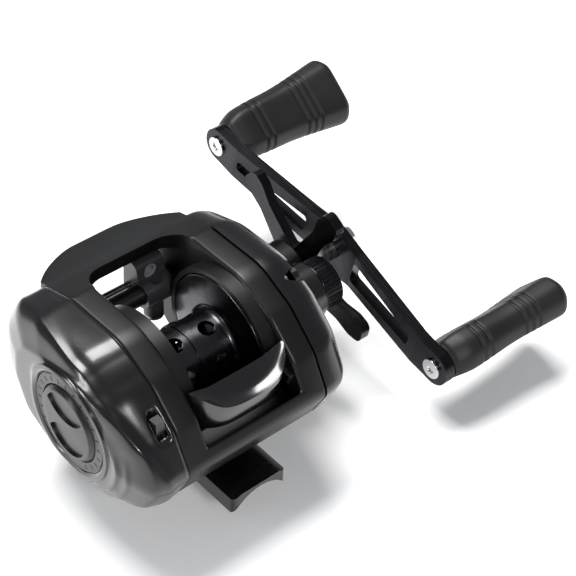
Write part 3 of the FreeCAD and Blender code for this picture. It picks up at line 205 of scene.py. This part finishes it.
def clean_copy(node, name, bevel=0.25, segments=2, sharp=30.0, rims=None):
    """A merged copy of a CAD node with rounded edges, riding on the node's body.

    rims picks the edges that are rounded broadly, by 1 mm, before the rest.
    """
    source = frame["nodes"][node]
    shape = bmesh.new()
    shape.from_mesh(source.data)
    same_point, nearly_flat, rim_rounding = 0.002 * MM, math.radians(0.8), 1.0 * MM
    bmesh.ops.remove_doubles(shape, verts=shape.verts, dist=same_point)
    bmesh.ops.dissolve_limit(shape, angle_limit=nearly_flat, verts=shape.verts, edges=shape.edges)
    if rims:
        broad = [edge for edge in shape.edges if len(edge.link_faces) == 2
                 and edge.calc_face_angle(0) > math.radians(sharp) and rims(edge)]
        bmesh.ops.bevel(shape, geom=broad, affect="EDGES", offset=rim_rounding, offset_type="OFFSET",
                        segments=5, profile=0.5, material=-1, clamp_overlap=False)
    made = finished(shape, name, sharp)
    if bevel:
        round_edges(made, bevel, segments, sharp)
    return stand_for(made, node)


def stand_for(made, *nodes):
    """The piece stands for these CAD nodes: it rides on the body of the first, and the nodes are hidden."""
    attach(made, BODY[nodes[0]])
    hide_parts(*nodes)
    return made


def paint(made, material):
    """Give the piece one material."""
    made.data.materials.clear()
    made.data.materials.append(material)
    return made


def coated(name, low, high, roughness, spread, grain, relief, coat=0.0, coat_roughness=0.05, specular=0.5):
    """A painted or moulded surface: mottled tone, uneven roughness, and a grain whose size is in mm."""
    made, tree = new_material(name)
    place = add(tree, "ShaderNodeTexCoord")
    fine = add(tree, "ShaderNodeTexNoise", values={"Vector": place.outputs["Object"], "Scale": 1000.0 / grain,
                                                    "Detail": 2.0, "Roughness": 0.6})
    broad = add(tree, "ShaderNodeTexNoise", values={"Vector": place.outputs["Object"], "Scale": 1000.0 / 14.0,
                                                     "Detail": 4.0})
    tone = add(tree, "ShaderNodeValToRGB", values={"Fac": broad.outputs["Fac"]})
    tone.color_ramp.elements[0].position = 0.3
    tone.color_ramp.elements[1].position = 0.7
    tone.color_ramp.elements[0].color = hex_colour(low)
    tone.color_ramp.elements[1].color = hex_colour(high)
    sheen = add(tree, "ShaderNodeMapRange", values={
        "Value": broad.outputs["Fac"], "From Min": 0.3, "From Max": 0.7,
        "To Min": roughness - spread, "To Max": roughness + spread})
    bump = add(tree, "ShaderNodeBump", values={"Height": fine.outputs["Fac"], "Strength": 1.0,
                                               "Distance": relief * MM})
    surface = add(tree, "ShaderNodeBsdfPrincipled", values={
        "Base Color": tone.outputs["Color"], "Roughness": sheen.outputs["Result"],
        "Normal": bump.outputs["Normal"], "Coat Weight": coat, "Coat Roughness": coat_roughness,
        "Specular IOR Level": specular})
    add(tree, "ShaderNodeOutputMaterial", values={"Surface": surface.outputs["BSDF"]})
    return made


def metal(name, low, high, roughness, spread, line, relief, along=(1.0, 0.02, 0.02)):
    """Worked metal: tool lines across the first axis of along, line being their spacing in mm."""
    made, tree = new_material(name)
    place = add(tree, "ShaderNodeTexCoord")
    stretched = add(tree, "ShaderNodeMapping", values={"Vector": place.outputs["Object"], "Scale": along})
    lines = add(tree, "ShaderNodeTexNoise", values={
        "Vector": stretched.outputs["Vector"], "Scale": 1000.0 / line, "Detail": 3.0})
    broad = add(tree, "ShaderNodeTexNoise", values={"Vector": place.outputs["Object"], "Scale": 1000.0 / 9.0,
                                                     "Detail": 3.0})
    tone = add(tree, "ShaderNodeValToRGB", values={"Fac": broad.outputs["Fac"]})
    tone.color_ramp.elements[0].position = 0.3
    tone.color_ramp.elements[1].position = 0.7
    tone.color_ramp.elements[0].color = hex_colour(low)
    tone.color_ramp.elements[1].color = hex_colour(high)
    sheen = add(tree, "ShaderNodeMapRange", values={
        "Value": lines.outputs["Fac"], "From Min": 0.3, "From Max": 0.7,
        "To Min": roughness - spread, "To Max": roughness + spread})
    bump = add(tree, "ShaderNodeBump", values={"Height": lines.outputs["Fac"], "Strength": 1.0,
                                               "Distance": relief * MM})
    surface = add(tree, "ShaderNodeBsdfPrincipled", values={
        "Base Color": tone.outputs["Color"], "Roughness": sheen.outputs["Result"], "Metallic": 1.0,
        "Normal": bump.outputs["Normal"]})
    add(tree, "ShaderNodeOutputMaterial", values={"Surface": surface.outputs["BSDF"]})
    return made


# powder paint: fine grain, low sheen
matt_paint = coated("matt_black_powder_paint", "#0a0a0b", "#0e0e0f", 0.36, 0.04, 0.30, 0.010, specular=0.32)


axis_height = spool_middle.z
hoop_inner, hoop_outer, bore_clear, hood_start = 13.5 * MM, 20.0 * MM, 18.3 * MM, 15.2 * MM


def outer_rim(edge):
    """The long edges of the two hoops, outside the spool's bore and behind the hood."""
    ends = [vert.co for vert in edge.verts]
    beside = all(min(abs(abs(end.x) - hoop_inner), abs(abs(end.x) - hoop_outer)) < 0.05 * MM for end in ends)
    outside = all(math.hypot(end.y, end.z - axis_height) > bore_clear for end in ends)
    behind_hood = all(end.y < hood_start for end in ends)
    return beside and outside and behind_hood


paint(clean_copy("main_frame", "frame_casting", bevel=0.3, rims=outer_rim), matt_paint)


# ---------------------------------------------------------------- covers
# Gloss black paint over the cast covers, with a very slight orange peel.
# The palm cover has a sculpted skin over it: ridges and valleys that sweep round the dial.

# sprayed gloss paint with a thin clear coat
gloss_paint = coated("gloss_black_paint", "#040405", "#070708", 0.27, 0.03, 1.6, 0.004,
                     coat=0.5, coat_roughness=0.14, specular=0.4)
paint(clean_copy("palm_cover", "palm_side_cover", bevel=0.3), gloss_paint)
paint(clean_copy("handle_side_cover", "gear_cover", bevel=0.3), gloss_paint)


def blade(place, crest, near, far):
    """Height of a blade-shaped ridge: 1 at its crest, falling off by near on one side, far on the other."""
    reach = (place - crest) / (near if place < crest else far)
    return math.exp(-reach * reach)


def ease(value, start, end):
    """0 before start, 1 after end, smooth between."""
    share = min(max((value - start) / (end - start), 0.0), 1.0)
    return share * share * (3 - 2 * share)


def relief(turn, tilt):
    """Raised parts of the cover in mm: turn goes round the dial from the front, tilt from rim to dial."""
    # turn: 0 is the front, 90 the top, 180 the rear; tilt: 0 is the rim, 45 the dial's edge
    over = ease(turn, 8, 40) * (1 - ease(turn, 196, 226))
    first = blade(tilt, 9 + 24 * ease(turn, 10, 95) - 14 * ease(turn, 120, 185), 4.0, 9.0)
    second = blade(tilt, 43 - 5 * ease(turn, 80, 150) - 30 * ease(turn, 120, 205), 3.0, 10.0)
    height = 0.25 + over * (0.9 * first + 0.8 * second)
    lower = ease(turn, 168, 186) * (1 - ease(turn, 236, 256))
    height += lower * 0.55 * blade(tilt, 36.5, 1.6, 1.6)
    height += lower * 0.5 * blade(tilt, 30.5, 1.6, 1.6)
    height += 0.75 * ease(tilt, 40.5, 42.5)
    return height * ease(tilt, 0.0, 2.0)


def next_ring(shape, ring, edges):
    """Extrude a closed ring: the new ring in the order of the old one, and its edges."""
    grown = set(bmesh.ops.extrude_edge_only(shape, edges=edges)["geom"])
    fresh = [next(edge.other_vert(vert) for edge in vert.link_edges if edge.other_vert(vert) in grown)
             for vert in ring]
    return fresh, [item for item in grown if isinstance(item, bmesh.types.BMEdge)
                   and all(end in grown for end in item.verts)]


def palm_skin():
    """The cover's outer skin: rays towards the middle of its rim find the cast shape, then it is sculpted."""
    turns, steps, dial_edge, rim_edge = 420, 90, 44.7, 0.4
    source = frame["nodes"]["palm_cover"].data
    found = BVHTree.FromPolygons([vert.co for vert in source.vertices],
                                 [face.vertices for face in source.polygons])
    middle = Vector((-hoop_outer, 0, axis_height))
    aims = [[Vector((-math.sin(tilt), math.cos(tilt) * math.cos(turn), math.cos(tilt) * math.sin(turn)))
             for turn in (2 * math.pi * i / turns for i in range(turns))]
            for tilt in (math.radians(rim_edge + (dial_edge - rim_edge) * j / steps)
                         for j in range(steps + 1))]
    far, wall = 60 * MM, 1.2
    reach = []
    for row in aims:
        hits = [found.ray_cast(middle + aim * far, -aim)[3] for aim in row]
        reach.append([far - hit if hit else 0 for hit in hits])
    latch_cover = 9
    for pick in (max, min):
        reach = [[pick(row[(i + k) % turns] for k in range(-latch_cover, latch_cover + 1))
                  for i in range(turns)] for row in reach]
    smoothing = 5
    for _ in range(smoothing):
        reach = [[(row[i - 1] + 2 * row[i] + row[(i + 1) % turns]) / 4 for i in range(turns)]
                 for row in reach]
        reach = [[(reach[max(j - 1, 0)][i] + 2 * reach[j][i] + reach[min(j + 1, steps)][i]) / 4
                  for i in range(turns)] for j in range(steps + 1)]
    shape = bmesh.new()
    ring = bmesh.ops.create_circle(shape, cap_ends=False, segments=turns, radius=1.0)["verts"]
    edges = shape.edges[:]
    rows = [(j, 0.0) for j in range(steps + 1)] + [(j, wall) for j in range(steps, -1, -3)]
    for place, (j, sunk) in enumerate(rows):
        if place:
            ring, edges = next_ring(shape, ring, edges)
        tilt = rim_edge + (dial_edge - rim_edge) * j / steps
        for i, vert in enumerate(ring):
            rise = -sunk if sunk else relief(360 * i / turns, tilt)
            vert.co = middle + aims[j][i] * (reach[j][i] + rise * MM)
    loop = [edge for edge in shape.edges if len(edge.link_faces) == 1]
    bmesh.ops.bridge_loops(shape, edges=loop)
    bmesh.ops.recalc_face_normals(shape, faces=shape.faces)
    made = finished(shape, "palm_cover_skin", 180)
    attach(made, BODY["palm_cover"])
    return made


paint(palm_skin(), gloss_paint)
paint(clean_copy("reel_foot", "foot_plate", bevel=0.2), gloss_paint)


# ---------------------------------------------------------------- dial
# Moulded nylon brake dial and its scale ring, satin black, pressed into the middle of the palm cover.
# Two hollows with a bar between them give the fingers a grip.

# glass-filled nylon, satin from the mould
satin_plastic = coated("satin_black_nylon", "#0c0c0d", "#121213", 0.34, 0.04, 0.5, 0.008)
paint(clean_copy("brake_dial", "brake_dial_cap", bevel=0.2), satin_plastic)
paint(clean_copy("dial_bezel", "brake_scale_ring", bevel=0.08), satin_plastic)

# ---------------------------------------------------------------- thumb bar
# Moulded gloss black bar behind the spool: a dished crescent on a set-back body.
# Its tenon runs through the right plate to the clutch.

# polished ABS
gloss_plastic = coated("gloss_black_abs", "#08080a", "#0c0c0e", 0.20, 0.03, 2.0, 0.004,
                       coat=0.6, coat_roughness=0.12)


def thumb_rest():
    """A crescent with a dished top and rising tips, on a set-back lower body, with its tenon to the right."""
    low_end, high_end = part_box("thumb_bar")
    half_width, front_face = 13.2 * MM, high_end.y - 0.1 * MM
    depth, tip_rise, dish_depth, rear_fall = front_face - low_end.y, 1.1 * MM, 1.0 * MM, 3.2 * MM
    shape = bmesh.new()
    top = bmesh.ops.create_grid(shape, x_segments=64, y_segments=16, size=1.0)["verts"]
    for vert in top:
        along, across = vert.co.x, (vert.co.y + 1) / 2
        middle = 1 - along * along
        rear = low_end.y + depth * 0.90 * along ** 4
        front = front_face - 0.3 * MM * middle
        dish = dish_depth * math.sin(math.pi * across) * middle
        fall = rear_fall * (1 - across) * middle
        vert.co = (half_width * along, rear + (front - rear) * across,
                   high_end.z - tip_rise - fall - dish + tip_rise * ease(abs(along), 0.55, 1.0))
    faces = shape.faces[:]
    for stage in ("rim", "step", "body"):
        grown = bmesh.ops.extrude_face_region(shape, geom=faces)["geom"]
        faces = [item for item in grown if isinstance(item, bmesh.types.BMFace)]
        for vert in (item for item in grown if isinstance(item, bmesh.types.BMVert)):
            if stage == "rim":
                vert.co.z -= 1.3 * MM
            elif stage == "step":
                vert.co.y += 1.5 * MM * (front_face - vert.co.y) / depth
                vert.co.x *= 0.975
            else:
                vert.co.z = low_end.z + 0.2 * MM
    tenon = bmesh.ops.create_cube(shape, size=1.0)["verts"]
    tenon_size = Vector((3.4, 3.6, 2.4)) * MM
    bmesh.ops.scale(shape, verts=tenon, vec=tenon_size)
    bmesh.ops.translate(shape, verts=tenon, vec=(high_end.x - tenon_size.x / 2, high_end.y - 2.5 * MM,
                                                 low_end.z + 1.5 * MM))
    bmesh.ops.recalc_face_normals(shape, faces=shape.faces)
    made = finished(shape, "thumb_rest", 35)
    round_edges(made, 0.3, 3, 40)
    return stand_for(made, "thumb_bar")


paint(thumb_rest(), gloss_plastic)

# ---------------------------------------------------------------- spool
# Turned aluminium, anodised black, with drilled ports; fine tool lines run round it.

# aluminium turned on a lathe, then anodised black
black_anodised = metal("black_anodised_aluminium", "#3c3c3f", "#4c4c50", 0.24, 0.05, 0.25, 0.003)
paint(clean_copy("spool", "line_spool", bevel=0.15), black_anodised)

# ---------------------------------------------------------------- handle
# Stamped and anodised aluminium plate and star, a chromed nut and rivets, and two moulded rubber knobs.
# The tension knob beside the star is anodised too, with a fine knurl.

# aluminium plate, brushed and anodised black
satin_anodised = metal("satin_anodised_aluminium", "#202022", "#2e2e31", 0.26, 0.06, 0.25, 0.004)
# bright chrome on steel
chrome = metal("polished_chrome", "#c4c4c7", "#d8d8da", 0.13, 0.04, 0.3, 0.002)
# moulded rubber, matt with a fine texture
rubber = coated("matt_black_rubber", "#0c0c0d", "#121213", 0.50, 0.05, 0.35, 0.020, specular=0.35)
paint(clean_copy("handle_arm", "crank_plate", bevel=0.3), satin_anodised)
paint(clean_copy("drag_star", "star_wheel", bevel=0.35), satin_anodised)
paint(clean_copy("handle_nut", "crank_nut", bevel=0.15), chrome)
paint(clean_copy("knob_spindles", "knob_rivets", bevel=0.12), chrome)


def through(points, place):
    """A smooth curve through (place, value) points."""
    last = len(points) - 1
    k = max(0, min(last - 1, sum(1 for point in points if point[0] <= place) - 1))
    (start, low_value), (end, high_value) = points[k], points[k + 1]
    before, after = points[max(k - 1, 0)], points[min(k + 2, last)]
    low_slope = (high_value - before[1]) / (end - before[0])
    high_slope = (after[1] - low_value) / (after[0] - start)
    span = end - start
    t = (place - start) / span
    return ((2 * t ** 3 - 3 * t ** 2 + 1) * low_value + (t ** 3 - 2 * t ** 2 + t) * span * low_slope
            + (3 * t ** 2 - 2 * t ** 3) * high_value + (t ** 3 - t ** 2) * span * high_slope)


def knob(node, name, joint, turn):
    """Moulded rubber grip: eight-sided with soft creases, five grooves round it, and a rounded flared end."""
    low_end, high_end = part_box(node)
    centre = next(row["pos_m"] for row in frame["record"]["behaviour"]["joints"] if row["name"] == joint)
    length = (high_end.x - low_end.x) / MM
    broad_curve = [(0, 5.0), (5, 7.0), (19, 7.8), (28.5, 8.9), (35.3, 9.75), (37.5, 9.6)]
    thin_curve = [(0, 5.0), (5, 5.75), (19, 5.3), (28.5, 5.7), (35.3, 6.0), (37.5, 5.9)]
    grooves = (8.2, 10.6, 22.4, 24.6, 26.8)
    flats = [(0, 1, 0.92), (0, -1, 0.92), (1, 0, 1), (-1, 0, 1)]
    flats += [(x * 0.859, y * 0.512, 1.038) for x in (-1, 1) for y in (-1, 1)]
    segments, stations, rounding, crease = 96, 170, 3.0, 14
    bore_radius, bore_depth, groove_depth, groove_half = 3.02, 33.0, 0.5, 0.42
    spin = math.radians(turn)
    shape = bmesh.new()
    ring = bmesh.ops.create_circle(shape, cap_ends=False, segments=segments, radius=1.0)["verts"]
    edges = shape.edges[:]
    rows = [(bore_depth, 0.0, 0.0), (bore_depth, bore_radius, 0.0), (0.0, bore_radius, 0.0), (0.0, 0.0, 0.7)]
    rows += [(length * k / stations, 0.0, 0.0) for k in range(stations)]
    rows += [(length, 0.0, inset) for inset in (3.1, 4.4, 6.0, 20.0)]
    for count, (place, bore, inset) in enumerate(rows):
        if count:
            ring, edges = next_ring(shape, ring, edges)
        past = max(place - (length - rounding), 0.0)
        shrink = rounding - math.sqrt(max(rounding ** 2 - past ** 2, 0.0)) if inset < rounding else inset
        sunk = groove_depth * sum(math.exp(-((place - groove) / groove_half) ** 4) for groove in grooves)
        sunk += groove_depth * math.exp(-(place / 0.7) ** 2)
        wide = max(through(broad_curve, place) - shrink - sunk, 0.0)
        deep = max(through(thin_curve, place) - shrink - sunk, 0.0)
        bulge = 0.5 * (1 - min(deep / 3.0, 1.0)) if inset > rounding else 0.0
        for i, vert in enumerate(ring):
            a = 2 * math.pi * i / segments
            if count < 3:
                y, z = bore * math.cos(a), bore * math.sin(a)
            else:
                reach = sum((max(math.cos(a) * x + math.sin(a) * y, 0.0) / h) ** crease for x, y, h in flats)
                y, z = (half * side * reach ** (-1 / crease)
                        for half, side in ((wide, math.cos(a)), (deep, math.sin(a))))
            vert.co = (low_end.x + (place + bulge) * MM,
                       centre[1] + (y * math.cos(spin) - z * math.sin(spin)) * MM,
                       centre[2] + (y * math.sin(spin) + z * math.cos(spin)) * MM)
    bmesh.ops.remove_doubles(shape, verts=shape.verts, dist=0.001 * MM)
    bmesh.ops.recalc_face_normals(shape, faces=shape.faces)
    made = finished(shape, name, 50)
    return stand_for(made, node)


paint(knob("front_knob", "knob_front", "front_knob_spin", 40), rubber)
paint(knob("rear_knob", "knob_rear", "rear_knob_spin", 130), rubber)
paint(clean_copy("tension_knob", "cast_control_cap", bevel=0.12), satin_anodised)

# ---------------------------------------------------------------- level wind
# Moulded grey guide block that slides along the black guard tube in front of the spool.

# dark grey acetal
grey_plastic = coated("dark_grey_acetal", "#2c2c2f", "#36363a", 0.38, 0.05, 0.4, 0.010)
paint(clean_copy("line_guide", "line_guide_block", bevel=0.3), grey_plastic)
paint(clean_copy("worm_guard", "worm_tube", bevel=0.1), satin_plastic)

# ---------------------------------------------------------------- inner pieces
# Shafts, gears, bearings, washers and screws inside, which keep their CAD shape: each takes the finish
# of its material slot.

# ground steel for shafts and screws
ground_steel = metal("ground_steel", "#8b8b8f", "#a4a4a8", 0.28, 0.06, 0.2, 0.003)
# polished steel for bearings and plated magnets
bearing_steel = metal("polished_bearing_steel", "#9a9a9f", "#b4b4b8", 0.18, 0.04, 0.2, 0.002)
# machined brass gears
brass = metal("machined_brass", "#a5803a", "#bb9448", 0.26, 0.05, 0.2, 0.003)
# undyed acetal bushes
pale_plastic = coated("natural_acetal", "#cfc9b6", "#dad5c5", 0.45, 0.05, 0.5, 0.010)
# drag washers of woven carbon
carbon = coated("woven_carbon_washer", "#1a1a1c", "#2a2a2c", 0.50, 0.08, 0.6, 0.030)
# the line guide's polished ring
ceramic = coated("polished_ceramic", "#75787c", "#83868a", 0.10, 0.02, 1.0, 0.002, coat=0.5)
finishes = {"steel": ground_steel, "bearing_steel": bearing_steel, "brass": brass,
            "bush_plastic": pale_plastic,
            "clutch_plastic": grey_plastic, "carbon": carbon, "ceramic": ceramic, "magnet": bearing_steel,
            "dial_plastic": satin_plastic, "guide_grey": grey_plastic, "cover_paint": gloss_paint,
            "frame_paint": matt_paint, "foot_paint": gloss_paint, "bar_gloss": gloss_plastic,
            "spool_black": black_anodised, "handle_black": satin_anodised, "nut_chrome": chrome,
            "knob_rubber": rubber}
for row in frame["record"]["subparts"]:
    kept = frame["nodes"][row["node"]]
    if not kept.hide_render:
        paint(kept, finishes[row["material_slot"]])
